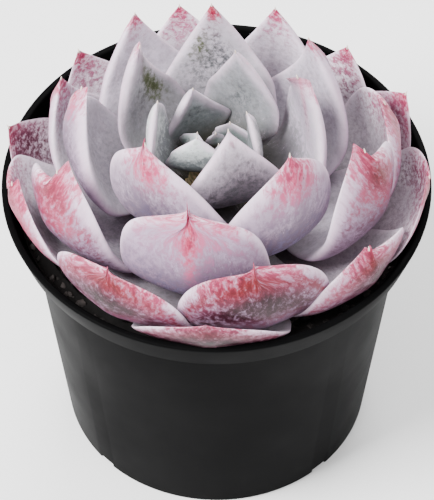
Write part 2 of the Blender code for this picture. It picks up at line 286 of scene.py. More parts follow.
class SucculentPot(bpy.types.PropertyGroup):
    """Finish of the pot."""

    colour: FloatVectorProperty(
        name="Colour", description="Colour of the moulded plastic",
        default=(0.0019, 0.0019, 0.002), subtype="COLOR")
    roughness: FloatProperty(
        name="Roughness", description="Roughness of the matt moulding",
        default=0.48, min=0, max=1, subtype="FACTOR")
    steps: IntProperty(name="Steps", description="Faces round the pot", default=180, min=36)


class SucculentSoil(bpy.types.PropertyGroup):
    """Colours of the potting mix, and how many stones and grains lie on it."""

    colour: FloatVectorProperty(
        name="Colour", description="Colour of the damp mix",
        default=linear("262120"), subtype="COLOR")
    perlite: FloatVectorProperty(
        name="Perlite", description="Colour of the perlite grains",
        default=linear("dedad2"), subtype="COLOR")
    stones: IntProperty(name="Stones", description="Number of loose stones", default=1500, min=0)
    grains: IntProperty(name="Grains", description="Number of perlite grains", default=46, min=0)


class SucculentStage(bpy.types.PropertyGroup):
    """The floor and the camera."""

    floor: FloatVectorProperty(
        name="Floor", description="Colour of the floor",
        default=(0.95, 0.95, 0.95), subtype="COLOR")
    distance: FloatProperty(
        name="Distance", description="From the camera to the plant", default=1.0, unit="LENGTH")
    elevation: FloatProperty(
        name="Elevation", description="How far the camera looks down",
        default=math.radians(50.55), subtype="ANGLE", unit="ROTATION")
    aim: FloatProperty(
        name="Aim", description="Height that the camera looks at",
        default=54.97 * MM, unit="LENGTH")
    lens: FloatProperty(name="Lens", description="Focal length in millimetres", default=282.0)


# Curves and shells of the rosette


def smooth_curve(places, values):
    """A smooth function through the points, with no overshoot, and straight beyond them."""
    places, values = np.array(places, float), np.array(values, float)
    gaps = np.diff(places)
    slopes = np.diff(values) / gaps
    tangents = [slopes[0]]
    for left, right, gap, after in zip(slopes, slopes[1:], gaps, gaps[1:]):
        if left * right <= 0:
            tangents.append(0.0)
            continue
        near, far = 2 * after + gap, after + 2 * gap
        tangents.append((near + far) / (near / left + far / right))
    tangents = np.array([*tangents, slopes[-1]])

    def value(place):
        i = np.clip(np.searchsorted(places, place, side="right") - 1, 0, len(gaps) - 1)
        gap = gaps[i]
        t = np.clip((place - places[i]) / gap, 0, 1)
        inside = (
            (1 + 2 * t) * (1 - t) ** 2 * values[i]
            + t * (1 - t) ** 2 * gap * tangents[i]
            + t * t * (3 - 2 * t) * values[i + 1]
            + t * t * (t - 1) * gap * tangents[i + 1]
        )
        below = np.minimum(place - places[0], 0) * tangents[0]
        above = np.maximum(place - places[-1], 0) * tangents[-1]
        return inside + below + above

    return value


tip_reach = smooth_curve(RANKS, TIP_REACH)
tip_rise = smooth_curve(RANKS, TIP_RISE)
tip_slope = smooth_curve(RANKS, TIP_SLOPE)
tip_pull = smooth_curve(RANKS, TIP_PULL)
foot_reach = smooth_curve(RANKS, FOOT_REACH)
foot_rise = smooth_curve(RANKS, FOOT_RISE)
foot_slope = smooth_curve(RANKS, FOOT_SLOPE)
foot_pull = smooth_curve(RANKS, FOOT_PULL)
half_width = smooth_curve(RANKS, HALF_WIDTH)
half_thickness = smooth_curve(RANKS, HALF_THICKNESS)
flare = smooth_curve(RANKS, FLARE)
pointed_outline = smooth_curve(STATIONS, POINTED)
sharp_outline = smooth_curve(STATIONS, SHARP)
blunt_outline = smooth_curve(STATIONS, BLUNT)
broad_outline = smooth_curve(STATIONS, BROAD)
round_outline = smooth_curve(STATIONS, ROUND)
fullness = smooth_curve(STATIONS, FULLNESS)
OUTLINES = (
    (round_outline, ROUND_LEAVES),
    (broad_outline, BROAD_LEAVES),
    (blunt_outline, BLUNT_LEAVES),
    (sharp_outline, SHARP_LEAVES),
)


def rank_of(number):
    """A leaf's number, less what the shed leaves below it left."""
    return number - CLOSING * sum(number > gone for gone in SHED)


def on_shell(rank, share):
    """Radius and height on the shell of this rank, a share of the way from its foot to its rim."""
    leave, arrive = np.radians(foot_slope(rank)), np.radians(tip_slope(rank))
    run, rise = foot_pull(rank) * MM, tip_pull(rank) * MM
    foot = foot_reach(rank) * MM, SOIL_MIDDLE + foot_rise(rank) * MM
    tip = tip_reach(rank) * SPREAD, POT_HEIGHT + tip_rise(rank) * MM
    low = foot[0] + run * np.cos(leave), foot[1] + run * np.sin(leave)
    high = tip[0] - rise * np.cos(arrive), tip[1] - rise * np.sin(arrive)
    back = 1 - share
    parts = back**3, 3 * share * back**2, 3 * share**2 * back, share**3
    return [sum(part * p[i] for part, p in zip(parts, (foot, low, high, tip))) for i in (0, 1)]


def leaning(radius, angle, height):
    """Points of the rosette, whose axis leans with the plant."""
    above = height - SOIL_MIDDLE
    return np.stack((
        STEM_OFFSET[0] + LEAN[0] * above + radius * np.cos(angle),
        STEM_OFFSET[1] + LEAN[1] * above + radius * np.sin(angle),
        height,
    ), axis=-1)


def fade(value, low, high):
    """0 below low, 1 above high, and smooth between."""
    t = np.clip((value - low) / (high - low), 0, 1)
    return t * t * (3 - 2 * t)


def hill(value, middle, reach):
    """1 at the middle, and falling smoothly to nothing either side."""
    return np.exp(-(((value - middle) / reach) ** 2))


def over(colours, colour, amount):
    """Rows of colours with another colour laid over them, each row by its own amount."""
    return colours + (np.asarray(colour) - colours) * np.asarray(amount)[..., None]


def toned(tones, rank):
    """The tone at this rank, from a list of tones at RANKS."""
    channels = np.array([linear(tone) for tone in tones]).T
    return np.array([np.interp(rank, RANKS, channel) for channel in channels])


# Materials


def node(tree, kind, sockets, output=0, **settings):
    """Adds a node, sets its settings, and fills or links its sockets by name or number."""
    made = tree.nodes.new("ShaderNode" + kind)
    for name, value in settings.items():
        setattr(made, name, value)
    for name, value in sockets.items():
        if isinstance(value, bpy.types.NodeSocket):
            tree.links.new(value, made.inputs[name])
        else:
            made.inputs[name].default_value = value
    return made.outputs[output]


def calculate(tree, operation, first, second=0.0, third=0.5, clamp=False):
    sockets = {0: first, 1: second, 2: third}
    return node(tree, "Math", sockets, operation=operation, use_clamp=clamp)


def product(tree, first, second):
    return calculate(tree, "MULTIPLY", first, second)


def mix(tree, amount, first, second, blend="MIX"):
    """One colour over another; the colours may be sockets or plain linear colours."""
    full = [c if isinstance(c, bpy.types.NodeSocket) else (*c[:3], 1) for c in (first, second)]
    return node(tree, "Mix", {0: amount, 6: full[0], 7: full[1]}, output=2, data_type="RGBA",
                blend_type=blend)


def ramp(tree, value, low, high, start=0.0, end=1.0):
    return node(tree, "MapRange", {"Value": value, "From Min": low, "From Max": high,
                                   "To Min": start, "To Max": end}, interpolation_type="SMOOTHSTEP")


def grain(tree, place, scale, detail=4.0, roughness=0.6, distortion=0.0):
    return node(tree, "TexNoise", {"Vector": place, "Scale": scale, "Detail": detail,
                                   "Roughness": roughness, "Distortion": distortion})


def new_skin(name, roughness, **sockets):
    """A material with its tree and its shader, whose other sockets are set by name."""
    made = bpy.data.materials.new(name)
    made.use_nodes = True
    shader = made.node_tree.nodes["Principled BSDF"]
    shader.inputs["Roughness"].default_value = roughness
    for socket, value in sockets.items():
        shader.inputs[socket.replace("_", " ")].default_value = value
    return made, made.node_tree, shader


def bumped(tree, shader, height, strength, distance):
    """Gives the shader a fine relief."""
    normal = node(tree, "Bump", {"Height": height, "Strength": strength, "Distance": distance})
    tree.links.new(normal, shader.inputs["Normal"])


def attribute(tree, name, output="Fac"):
    return node(tree, "Attribute", {}, output=output, attribute_name=name)


def hairlines(tree, strokes, level, width):
    """Thin lines where the strokes' noise crosses this level."""
    away = calculate(tree, "ABSOLUTE", calculate(tree, "SUBTRACT", strokes, level))
    return ramp(tree, away, 0.0, width, 1.0, 0.0)


def leaf_skin(name, settings):
    """Waxy skin under a pale powder: thin, scratched, stained and given painted light and shade
    where the leaf's paint says.
    """
    made, tree, shader = new_skin(
        name, settings.roughness, IOR=1.42, Subsurface_Weight=0.1, Subsurface_Scale=0.002)
    shader.inputs["Subsurface Radius"].default_value = (1.0, 0.55, 0.45)
    place = attribute(tree, "place", "Vector")
    tone = attribute(tree, "tone", "Color")
    stain_and_painted_light = attribute(tree, "stain_and_painted_light", "Color")
    stain_and_painted_light_amount = attribute(tree, "stain_and_painted_light_amount")
    thin = attribute(tree, "thin")
    aged = attribute(tree, "aged")

    cloud = grain(tree, place, 0.2, 4, 0.6)
    mottle = grain(tree, place, 0.75, 8, 0.7, 0.3)
    fine = grain(tree, place, 2.6, 5, 0.75)
    drawn = node(tree, "Mapping",
                 {"Vector": place, "Rotation": (0, 0, 0.5), "Scale": (1.6, 0.3, 1)})
    strokes = grain(tree, drawn, 0.8, 4, 0.65, 0.9)
    scratch = hairlines(tree, strokes, 0.5, 0.02)
    scrape = hairlines(tree, strokes, 0.59, 0.015)
    rough_patch = ramp(tree, cloud, 0.5, 0.62)

    # Powder: light where it is whole, darker and richer skin where it is rubbed thin
    skin = node(tree, "HueSaturation", {"Saturation": 1.2, "Value": 0.36, "Color": tone})
    patch = calculate(tree, "ADD", thin, ramp(tree, mottle, 0.3, 0.7, -0.2, 0.25))
    bare = ramp(tree, patch, 0.0, 1.0, 0.0, 0.95)
    scratched = product(tree, product(tree, scratch, rough_patch), thin)
    powder = ramp(tree, cloud, 0.35, 0.65, 0.0, 0.5)
    powdered = mix(tree, powder, tone, (0.82, 0.78, 0.84), "SOFT_LIGHT")
    worn = mix(tree, calculate(tree, "ADD", bare, scratched, clamp=True), powdered, skin)

    # Stain, painted light and painted shade: uneven at their edges, and mottled and speckled where
    # they are strongest
    swing = calculate(tree, "MULTIPLY_ADD", aged, 0.05, 0.5)
    uneven = product(tree, ramp(tree, mottle, 0.3, 0.7, -1.0, 0.9), swing)
    patchy = calculate(tree, "ADD", stain_and_painted_light_amount, uneven)
    amount = product(tree, ramp(tree, patchy, 0.0, 1.0), ramp(tree, stain_and_painted_light_amount, 0.0, 0.3))
    coloured = mix(tree, amount, worn, stain_and_painted_light)
    deep = node(tree, "HueSaturation", {"Saturation": 1.1, "Value": 0.4, "Color": stain_and_painted_light})
    deepened = ramp(tree, stain_and_painted_light_amount, 0.55, 0.95, 0.0, 0.75)
    coloured = mix(tree, product(tree, ramp(tree, mottle, 0.46, 0.6), deepened), coloured, deep)
    cells = node(tree, "TexVoronoi", {"Vector": place, "Scale": 0.8, "Randomness": 1.0})
    speck = product(tree, ramp(tree, cells, 0.06, 0.2, 1.0, 0.0),
                    ramp(tree, stain_and_painted_light_amount, 0.55, 0.95, 0.0, 0.8))
    speckled = mix(tree, speck, coloured, (0.03, 0.01, 0.02))

    # Dust: a little over all, less over the stains and the painted light and shade
    scraped = product(tree, scrape, product(tree, rough_patch, 0.45))
    dusty = calculate(tree, "MAXIMUM", ramp(tree, fine, 0.6, 0.74, 0.0, 0.3), scraped)
    dusty = product(tree, dusty, ramp(tree, amount, 0.0, 1.0, 1.0, 0.2))
    dusted = mix(tree, dusty, speckled, (0.6, 0.5, 0.6))
    tree.links.new(dusted, shader.inputs["Base Color"])

    waxy = product(tree, amount, 0.2)
    rough = calculate(tree, "SUBTRACT", settings.roughness + 0.06, waxy)
    tree.links.new(rough, shader.inputs["Roughness"])
    relief = calculate(tree, "MULTIPLY_ADD", fine, 0.35, mottle)
    relief = calculate(tree, "SUBTRACT", relief, product(tree, scratched, 0.5))
    bumped(tree, shader, relief, 0.5, 0.0003)
    return made


def spine_skin():
    """The dry point at a leaf's tip."""
    made, tree, shader = new_skin("Dry leaf point", 0.5, IOR=1.45)
    place = node(tree, "TexCoord", {}, output="Object")
    shade = mix(tree, grain(tree, place, 1800), linear("f4ece6"), linear("d9b9a8"))
    tree.links.new(shade, shader.inputs["Base Color"])
    return made


def pot_skin(settings):
    """Matt moulded plastic with a faint texture, flow marks and a little dust."""
    made, tree, shader = new_skin(
        "Moulded black plastic", settings.roughness, IOR=1.4, Specular_IOR_Level=0.02)
    place = node(tree, "TexCoord", {}, output="Object")
    pebble = grain(tree, place, 2600, 2, 0.5)
    cloud = grain(tree, place, 28, 4, 0.6)
    drawn = node(tree, "Mapping", {"Vector": place, "Scale": (1, 1, 0.16)})
    flow = grain(tree, drawn, 160, 3, 0.6)
    base = tuple(settings.colour)
    lighter = tuple(1.35 * c for c in base)
    shade = mix(tree, ramp(tree, cloud, 0.35, 0.7), base, lighter)
    shade = mix(tree, ramp(tree, flow, 0.55, 0.8, 0.0, 0.25), shade, tuple(1.8 * c for c in base))
    dust = grain(tree, place, 900, 3, 0.7)
    shade = mix(tree, ramp(tree, dust, 0.7, 0.82, 0.0, 0.08), shade, (0.06, 0.055, 0.055))
    tree.links.new(shade, shader.inputs["Base Color"])
    rough = ramp(tree, cloud, 0.3, 0.7, settings.roughness - 0.05, settings.roughness + 0.08)
    tree.links.new(rough, shader.inputs["Roughness"])
    bumped(tree, shader, pebble, 0.12, 0.0001)
    return made


def soil_skin(name, dark, light, roughness):
    """Damp bark, grit and fibre, from dark to light by the noise and by each stone's own shade."""
    made, tree, shader = new_skin(name, roughness, IOR=1.4)
    place = node(tree, "TexCoord", {}, output="Object")
    shade = node(tree, "Attribute", {}, output="Fac", attribute_name="shade")
    mottle = grain(tree, place, 700, 6, 0.7)
    varied = ramp(tree, mottle, 0.3, 0.75, 0.5, 1.3)
    amount = calculate(tree, "MULTIPLY", shade, varied, clamp=True)
    tree.links.new(mix(tree, amount, dark, light), shader.inputs["Base Color"])
    bumped(tree, shader, mottle, 0.6, 0.0004)
    return made


def stem_skin():
    """Brown green stem with rings of old leaf scars."""
    made, tree, shader = new_skin("Scarred stem", 0.75, IOR=1.4)
    place = node(tree, "TexCoord", {}, output="Object")
    rings = node(tree, "TexWave", {"Vector": place, "Scale": 320, "Distortion": 3, "Detail": 3},
                 output="Fac", bands_direction="Z")
    mottle = grain(tree, place, 500, 5, 0.7)
    shade = mix(tree, rings, linear("5d5a38"), linear("7d6a4c"))
    shade = mix(tree, ramp(tree, mottle, 0.45, 0.7), shade, linear("43382a"))
    tree.links.new(shade, shader.inputs["Base Color"])
    bumped(tree, shader, rings, 0.5, 0.0005)
    return made


# Making pieces


def piece(name, mesh, skin, stands_for=None):
    """Adds an object that rides with the plant, and may stand for a node of the frame."""
    made = bpy.data.objects.new(name, mesh)
    if skin:
        mesh.materials.append(skin)
    bpy.context.scene.collection.objects.link(made)
    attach(made, "root")
    if stands_for:
        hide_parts(stands_for)
    return made


def smoothed(obj, levels):
    step = obj.modifiers.new("Smooth", "SUBSURF")
    step.levels = levels
    step.render_levels = levels


def paint(mesh, name, kind, values):
    """Stores a value, vector or colour at each point, for the material to read."""
    layer = mesh.attributes.new(name, kind, "POINT")
    field = {"FLOAT": "value", "FLOAT_VECTOR": "vector", "FLOAT_COLOR": "color"}[kind]
    layer.data.foreach_set(field, np.asarray(values, np.float32).ravel())


def angle_of(number):
    """The direction that a leaf grows in, in radians."""
    turn = GROWN.get(number, (0, 0))[0]
    return math.radians(YOUNGEST_ANGLE - GOLDEN_ANGLE * (number - 1) + turn)


def outline_of(number):
    """The half outline that a leaf has, as a function of the share of its length."""
    for outline, leaves in OUTLINES:
        if number in leaves:
            return outline
    return pointed_outline


def length_of(number):
    """The length of a leaf along its middle, in millimetres."""
    radius, height = on_shell(rank_of(number), np.linspace(0, 1, 25))
    return np.hypot(np.diff(radius), np.diff(height)).sum() / MM


def leaf_points(number, share, across, outward):
    """Points of a leaf: share of its length, across from -1 to 1, and outward from -1 to 1."""
    angle, rank, outline = angle_of(number), rank_of(number), outline_of(number)
    spine = on_shell(rank, share)[0]
    full = fullness(share) * half_thickness(rank)
    hollow = 1 - 0.5 * fade(share, 0.3, 0.6) * (1 - across**2)
    depth = outward * full * np.where(outward > 0, BACK_BULGE, FACE_BULGE * hollow)
    depth = depth + CURL.get(number, flare(rank)) * across**2 * np.sin(np.pi * share)
    depth = depth + TWIST.get(number, 0) * across * fade(share, 0.2, 0.6)
    for middle, reach, stand in LOBES.get(number, ()):
        share = share + stand * hill(across, middle, reach) * fade(share, 0.6, 0.98)
    radius, height = on_shell(rank + depth, share)
    level = fade(share, 0.55, 0.9) * (1 - fade(rank, 9, 14))
    height = height + (on_shell(rank, share)[1] - height) * level
    radius = radius + GROWN.get(number, (0, 0))[1] * MM * share
    stout = 0.35 * (1 - fade(rank, 6, 10)) * (1 - fade(share, 0.3, 0.6))
    wide = half_width(rank) * MM * (outline(np.minimum(share, 1)) + stout) * across
    flat = FLATTEST * (1 - fade(rank, 7, 15))
    angle = angle + math.radians(SWING.get(number, 0)) * (1 - np.minimum(share, 1))
    points = leaning(radius, angle + (1 - flat) * wide / np.maximum(spine, LEAST_WRAP), height)
    facing = angle + math.radians(FACING.get(number, 0))
    points[..., 0] -= flat * wide * np.sin(facing)
    points[..., 1] += flat * wide * np.cos(facing)
    return points


def leaf_grid(rings, segments):
    """Share, across and outward for each point of a closed leaf, and the faces that join them."""
    turn = np.arange(segments) * math.tau / segments
    shares = (1 - np.cos(np.pi * np.arange(1, rings) / rings)) / 2
    share = np.concatenate(([0], np.repeat(shares, segments), [1]))
    across = np.concatenate(([0], np.tile(np.cos(turn), rings - 1), [0]))
    outward = np.concatenate(([0], np.tile(np.sin(turn), rings - 1), [0]))
    last = len(share) - 1
    faces = []
    for j in range(segments):
        k = (j + 1) % segments
        faces.append((0, 1 + j, 1 + k))
        for i in range(rings - 2):
            low, high = 1 + i * segments, 1 + (i + 1) * segments
            faces.append((low + j, high + j, high + k, low + k))
        faces.append((last, last - segments + k, last - segments + j))
    return share, across, outward, faces


def stains_and_painted_light_on(number, rank, share, across, side, inset):
    """The colour and strength of the stains, the painted light and the painted shade at each point
    of a leaf, the later laid over the first.
    """
    tip, age = 0.95 * float(fade(rank, 10, 14)), float(fade(rank, 18, 28))
    marks = [("blush", 0, 1.0, 0.0, 0.12 + 0.12 * age, 1.6, (0.55 + 0.3 * age) * tip),
             ("rose", 0, 1.0, 0.0, 0.05 + 0.045 * age, 1.5, tip)]
    marks += STAINS_AND_PAINTED_LIGHT.get(number, ())
    layers = []
    for tone, where, along, aside, reach, spread, strength in marks:
        amount = strength * hill(share, along, reach) * hill(across, aside, spread)
        layers.append((tone, amount * (where * side >= 0)))
    ember, wine = BANDS.get(number, (0, 0))
    outer = fade(share, 0.42, 0.7) * (0.35 + 0.65 * (side > 0))
    outer = outer * (0.2 + 0.8 * hill(across, 0, 0.85))
    layers.append(("wine", wine * hill(inset, *WINE_BAND) * outer))
    layers.append(("ember", ember * hill(inset, *EMBER_BAND) * outer))
    colour, cover = np.tile(STAIN_AND_PAINTED_LIGHT_TONES["rose"], (len(share), 1)), np.full(len(share), 1e-6)
    for tone, amount in layers:
        amount = np.minimum(amount, 1)
        left = cover * (1 - amount)
        cover = amount + left
        colour = colour * (left / cover)[:, None]
        colour = colour + np.outer(amount / cover, STAIN_AND_PAINTED_LIGHT_TONES[tone])
    return colour, cover


def from_outline(number, x, y):
    """How far each point lies inside the leaf's outline, in millimetres."""
    shares = np.linspace(0.02, 1, 120)
    edge = half_width(rank_of(number)) * outline_of(number)(shares)
    beyond = np.hypot(np.abs(x)[:, None] - edge, y[:, None] - shares * length_of(number))
    return beyond.min(axis=1)


def build_leaf(number, settings, skin):
    """Draws a closed grid out into the leaf, gives it its keel and swellings, and paints it, painted
    light and shade included.
    """
    rank = rank_of(number)
    share, across, outward, faces = leaf_grid(settings.rings, settings.segments)
    mesh = bpy.data.meshes.new(f"leaf_{number:02d}_form")
    mesh.from_pydata(leaf_points(number, share, across, outward).tolist(), [], faces)
    half = np.maximum(half_width(rank) * outline_of(number)(share), 0.1)
    x, y, z = across * half, share * length_of(number), 12.0 * number + 2 * outward
    normals = np.empty(len(share) * 3, np.float32)
    mesh.vertices.foreach_get("normal", normals)
    lumps = np.array([
        noise.noise((a * 0.13, b * 0.13, c)) + 0.35 * noise.noise((a * 0.4, b * 0.4, c))
        for a, b, c in zip(x, y, z)
    ])
    height = settings.swell * lumps * np.sin(np.pi * share)
    ridge = hill(across, 0, 0.2) * fade(share, 0.4, 0.8) * fade(1 - share, 0, 0.12)
    height += settings.keel * float(fade(rank, 9, 18)) * ridge * (outward > 0)
    points = np.empty(len(share) * 3, np.float32)
    mesh.vertices.foreach_get("co", points)
    mesh.vertices.foreach_set("co", points + normals * np.repeat(height, 3))
    mesh.shade_smooth()

    side = fade(outward, -0.25, 0.25)
    inset = from_outline(number, x, y)
    margin = settings.margin / MM * (1 - 0.35 * side)
    rim = np.exp(-((inset / margin) ** 2)) * fade(share, 0.1, 0.4)
    face = np.tile(toned(FACE_TONES, rank), (len(share), 1))
    tone = over(face, toned(BACK_TONES, rank), side)
    tone = over(tone, MARGIN_TONE, (0.42 + 0.16 * side) * rim * (1 - 0.3 * fade(rank, 24, 34)))
    # Painted shade: each leaf darkens toward its foot, to dark olive and to half its brightness
    tone = over(tone, FOOT_SHADE, 1 - fade(share, 0.05, 0.42))
    tone = tone * (0.5 + 0.5 * fade(share, 0.3, 0.85))[:, None]
    stain_and_painted_light, amount = stains_and_painted_light_on(number, rank, share, across, 2 * side - 1, inset)
    pick = random.Random(number)
    aside, along = pick.uniform(-0.1, 0.35), pick.uniform(0.5, 0.68)
    rubbed = hill(across, aside, 0.7) * hill(share, along, 0.3)
    thin = (1 - rim) * (0.1 + rubbed * (0.25 + 0.65 * side) + 0.1 * fade(rank, 12, 30))
    ones = np.ones(len(share))
    paint(mesh, "place", "FLOAT_VECTOR", np.stack((x, y, z), axis=-1))
    paint(mesh, "tone", "FLOAT_COLOR", np.column_stack((tone, ones)))
    paint(mesh, "stain_and_painted_light", "FLOAT_COLOR", np.column_stack((stain_and_painted_light, ones)))
    paint(mesh, "stain_and_painted_light_amount", "FLOAT", amount * (1 - 0.75 * rim * (share < 0.93)))
    paint(mesh, "thin", "FLOAT", thin)
    paint(mesh, "aged", "FLOAT", ones * float(fade(rank, 16, 26)))
    leaf = piece(f"leaf_{number:02d}_skin", mesh, skin, f"leaf_{number:02d}")
    smoothed(leaf, 1)


def build_spine(number, settings, skin):
    """The dry point that a leaf's tip runs out in."""
    rank = rank_of(number)
    before, tip = (Vector(leaf_points(number, share, 0.0, 0.0)) for share in (0.97, 1.0))
    along = (tip - before).normalized()
    length = settings.spine * (0.55 + 0.45 * float(fade(rank, 4, 12)))
    mesh = bpy.data.meshes.new(f"leaf_{number:02d}_point_form")
    cone = bmesh.new()
    bmesh.ops.create_cone(cone, cap_ends=True, segments=10, radius1=0.42 * MM, radius2=0.06 * MM,
                          depth=length + 0.9 * MM)
    turn = along.to_track_quat("Z", "Y").to_matrix().to_4x4()
    centre = tip + along * (length / 2 - 0.45 * MM)
    bmesh.ops.transform(cone, matrix=Matrix.Translation(centre) @ turn, verts=cone.verts)
    cone.to_mesh(mesh)
    cone.free()
    mesh.shade_smooth()
    point = piece(f"leaf_{number:02d}_point", mesh, skin)
    smoothed(point, 1)


def turned(name, profile, steps):
    """A mesh turned round Z from a profile that runs down its outer side."""
    form = bmesh.new()
    chain = [form.verts.new((radius, 0, height)) for radius, height in profile]
    edges = [form.edges.new(pair) for pair in zip(chain, chain[1:])]
    bmesh.ops.spin(form, geom=chain + edges, cent=(0, 0, 0), axis=(0, 0, 1), angle=math.tau,
                   steps=steps, use_merge=True)
    bmesh.ops.remove_doubles(form, verts=form.verts, dist=1e-6)
    bmesh.ops.recalc_face_normals(form, faces=form.faces)
    mesh = bpy.data.meshes.new(name)
    form.to_mesh(mesh)
    form.free()
    mesh.shade_smooth()
    return mesh


def rounded(corners, steps=4):
    """A profile whose corners, each (radius, height, rounding), are rounded with arcs."""
    points = []
    for before, corner, after in zip([None] + corners, corners, corners[1:] + [None]):
        here = Vector(corner[:2])
        if not corner[2] or before is None or after is None:
            points.append(tuple(here))
            continue
        back = (Vector(before[:2]) - here).normalized()
        on = (Vector(after[:2]) - here).normalized()
        half = back.angle(on) / 2
        reach = corner[2] / math.tan(half)
        start, end = here + back * reach, here + on * reach
        for i in range(steps + 1):
            t = i / steps
            points.append(tuple(start * (1 - t) ** 2 + here * 2 * t * (1 - t) + end * t * t))
    return points


def wall_radius(height):
    """Outer radius of the tapered wall at this height."""
    return FOOT_RADIUS + (WALL_TOP_RADIUS - FOOT_RADIUS) * height / BAND_FOOT


def mouth_radius(height):
    """Inner radius of the band round the rim at this height."""
    low = BAND_FOOT_RADIUS - WALL
    share = (height - BAND_FOOT - WALL) / (BAND_DEPTH - WALL)
    return low + (RIM_RADIUS - LIP_WIDTH - low) * share


def cut(target, tool_mesh, place, turn=0.0):
    """Adds a Boolean cut and returns its cutter, which goes once the cut is applied."""
    tool = bpy.data.objects.new("cutter", tool_mesh)
    tool.location = place
    tool.rotation_euler.z = turn
    tool.hide_render = True
    bpy.context.scene.collection.objects.link(tool)
    step = target.modifiers.new("Cut", "BOOLEAN")
    step.operation = "DIFFERENCE"
    step.solver = "EXACT"
    step.object = tool
    return tool


def build_pot(settings):
    """Turns the pot's shell with its band and foot ring, and cuts its notches and drain holes."""
    floor_top = FOOT_RING_HEIGHT + FLOOR_THICKNESS
    corners = [
        (0, floor_top, 0),
        (wall_radius(floor_top) - WALL, floor_top, 1.2 * MM),
        (WALL_TOP_RADIUS - WALL, BAND_FOOT, 1.0 * MM),
        (mouth_radius(BAND_FOOT + WALL), BAND_FOOT + WALL, 0.8 * MM),
        (mouth_radius(POT_HEIGHT), POT_HEIGHT, 0.7 * MM),
        (RIM_RADIUS, POT_HEIGHT, 0.7 * MM),
        (BAND_FOOT_RADIUS, BAND_FOOT, 0.35 * MM),
        (WALL_TOP_RADIUS, BAND_FOOT, 0.6 * MM),
        (FOOT_RADIUS, 0, 0.7 * MM),
        (FOOT_RADIUS - FOOT_RING_WIDTH, 0, 0.4 * MM),
        (FOOT_RADIUS - FOOT_RING_WIDTH, FOOT_RING_HEIGHT, 0.5 * MM),
        (0, FOOT_RING_HEIGHT, 0),
    ]
    mesh = turned("pot_form", rounded(corners), settings.steps)
    pot = piece("pot_shell", mesh, pot_skin(settings), "pot")
    tools = []
    block = bmesh.new()
    bmesh.ops.create_cube(block, size=1)
    notch_size = (3 * FOOT_RING_WIDTH, NOTCH_WIDTH, 2 * NOTCH_HEIGHT)
    bmesh.ops.scale(block, vec=notch_size, verts=block.verts)
    notch = bpy.data.meshes.new("notch_form")
    block.to_mesh(notch)
    block.free()
    rod = bmesh.new()
    bmesh.ops.create_cone(rod, cap_ends=True, segments=48, radius1=DRAIN_RADIUS,
                          radius2=DRAIN_RADIUS, depth=3 * FLOOR_THICKNESS)
    drain = bpy.data.meshes.new("drain_form")
    rod.to_mesh(drain)
    rod.free()
    circle = FOOT_RADIUS - FOOT_RING_WIDTH - DRAIN_INSET - DRAIN_RADIUS
    for i in range(NOTCH_COUNT):
        angle = FIRST_NOTCH_ANGLE + i * math.tau / NOTCH_COUNT
        aim = Vector((math.cos(angle), math.sin(angle), 0))
        tools.append(cut(pot, notch, aim * FOOT_RADIUS, angle))
        tools.append(cut(pot, drain, aim * circle + Vector((0, 0, floor_top))))
    graph = bpy.context.evaluated_depsgraph_get()
    solid = bpy.data.meshes.new_from_object(pot.evaluated_get(graph))
    pot.modifiers.clear()
    pot.data = solid
    solid.shade_smooth()
    solid.set_sharp_from_angle(angle=math.radians(50))
    for tool in tools:
        bpy.data.objects.remove(tool)


def soil_height(radius, edge):
    """Height of the dished top, which is lowest at the middle."""
    return SOIL_MIDDLE + SOIL_DISH * min(1.0, radius / edge) ** 4


def build_soil(settings):
    """The body of the mix, with an uneven crumbly top."""
    bottom = FOOT_RING_HEIGHT + FLOOR_THICKNESS + FIT
    inset = WALL + FIT
    ledge = BAND_FOOT + WALL + FIT
    edge = mouth_radius(SOIL_TOP) - FIT
    top = [(edge * i / 44, soil_height(edge * i / 44, edge)) for i in range(45)]
    side = [(mouth_radius(ledge) - FIT, ledge), (WALL_TOP_RADIUS - inset, ledge),
            (wall_radius(bottom) - inset, bottom), (0, bottom)]
    mesh = turned("soil_form", top + side, 120)
    for vert in mesh.vertices:
        radius = math.hypot(vert.co.x, vert.co.y)
        if vert.co.z > SOIL_MIDDLE - 1e-6 and radius < edge - 0.2 * MM:
            spot = vert.co * 500
            vert.co.z += (0.5 * noise.noise(spot) + 0.3 * noise.noise(spot * 2.7)) * MM
    paint(mesh, "shade", "FLOAT", [0.25] * len(mesh.vertices))
    damp = tuple(settings.colour)
    skin = soil_skin("Damp potting mix", tuple(0.45 * c for c in damp), damp, 0.9)
    piece("soil_body", mesh, skin, "soil")


